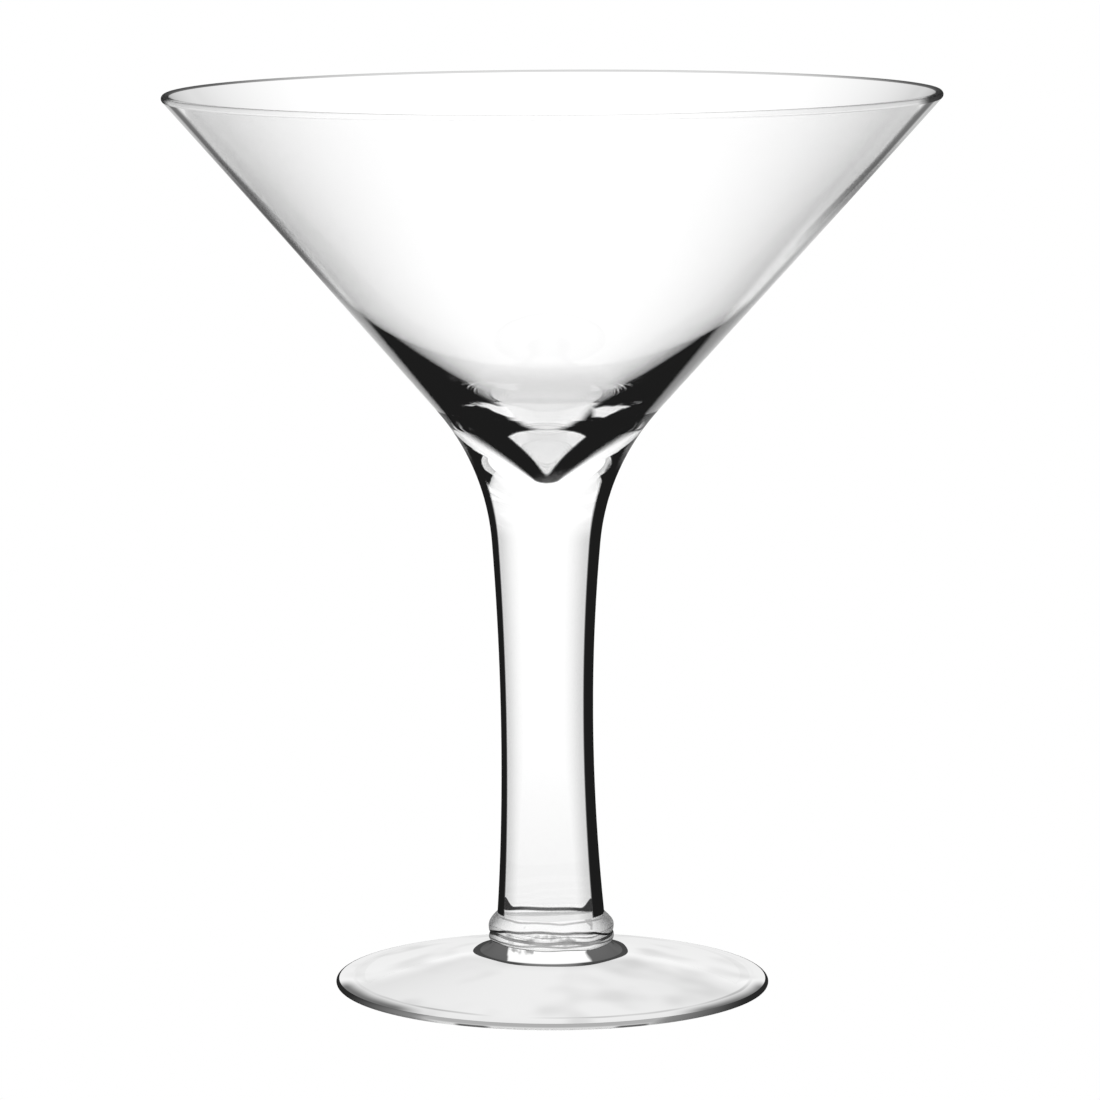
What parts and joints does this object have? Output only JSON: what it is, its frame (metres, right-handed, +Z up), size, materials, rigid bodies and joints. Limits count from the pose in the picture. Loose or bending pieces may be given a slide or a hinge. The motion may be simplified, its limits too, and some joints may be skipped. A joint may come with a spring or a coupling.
{
  "type": "martini glass",
  "caption": "Large clear martini glass: wide conical bowl with a thick pointed bottom on a solid flared stem, stacked collar rings and a round foot.",
  "frame": {"origin": "centre of the ring that the glass stands on, on the table's surface", "axes": "+Z up along the axis of the stem and bowl; X and Y are any two level directions, since the glass is round"},
  "size_m": [0.2, 0.2, 0.233],
  "materials": {
    "glass": "polished clear soda-lime glass, hand finished"
  },
  "bodies": {
    "root": {"bowl": "glass", "stem": "glass", "upper_ring": "glass", "lower_ring": "glass", "foot": "glass"}
  },
  "joints": []
}
